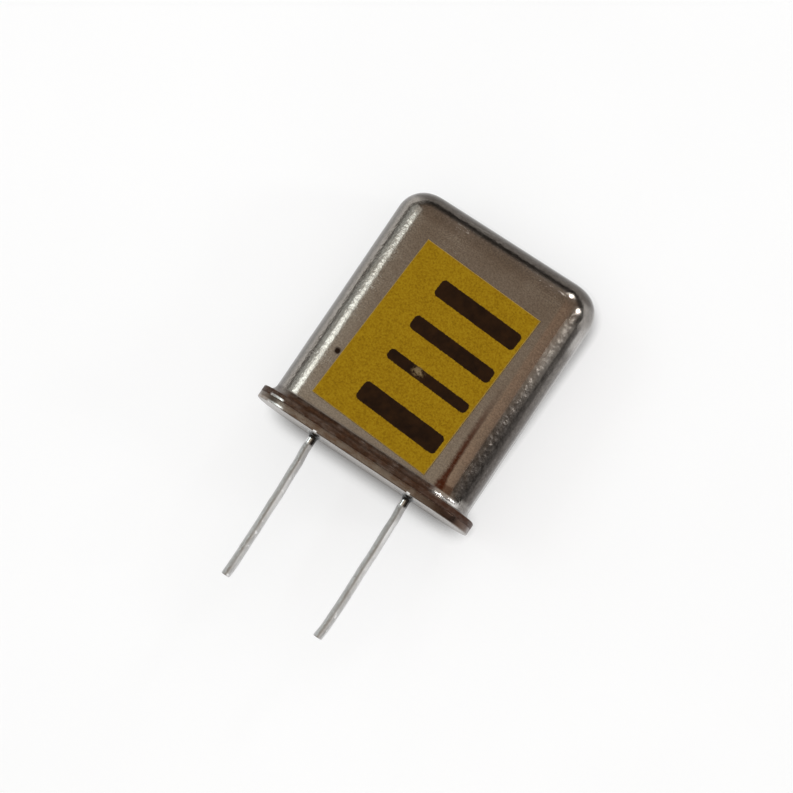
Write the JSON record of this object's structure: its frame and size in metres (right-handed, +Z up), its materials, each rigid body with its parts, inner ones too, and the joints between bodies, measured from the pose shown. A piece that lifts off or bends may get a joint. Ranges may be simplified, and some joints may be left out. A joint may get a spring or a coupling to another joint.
{
  "type": "quartz crystal",
  "caption": "Flat rounded metal can with a welded flange, round wire leads and a yellow label on its front; it holds a quartz disc on springs and sets the frequency of a circuit.",
  "frame": {"origin": "middle of the header's seating face, halfway between the two leads", "axes": "+Y from the seating face to the closed end of the cover, with the leads towards -Y; +Z up out of the labelled front as the part lies on its back; X across the cover"},
  "size_m": [0.0108, 0.0187, 0.0046],
  "materials": {
    "cover_metal": "satin nickel, fine scratches, brown tarnish on one side",
    "header_metal": "satin nickel, tarnished at the weld",
    "seal_glass": "dark gloss",
    "tinned_wire": "tin coat, uneven",
    "spring_strip": "satin",
    "quartz": "lapped, clear",
    "silver_film": "thin metal film",
    "silver_cement": "matt grey",
    "label_tape": "yellow laminated tape with plain dark bars"
  },
  "bodies": {
    "root": {"cover": "cover_metal", "header": "header_metal", "seal_left": "seal_glass", "seal_right": "seal_glass", "lead_left": "tinned_wire", "lead_right": "tinned_wire", "spring_left": "spring_strip", "spring_right": "spring_strip", "quartz_disc": "quartz", "electrode_front": "silver_film", "electrode_rear": "silver_film", "bond_left": "silver_cement", "bond_right": "silver_cement", "label": "label_tape"}
  },
  "joints": []
}
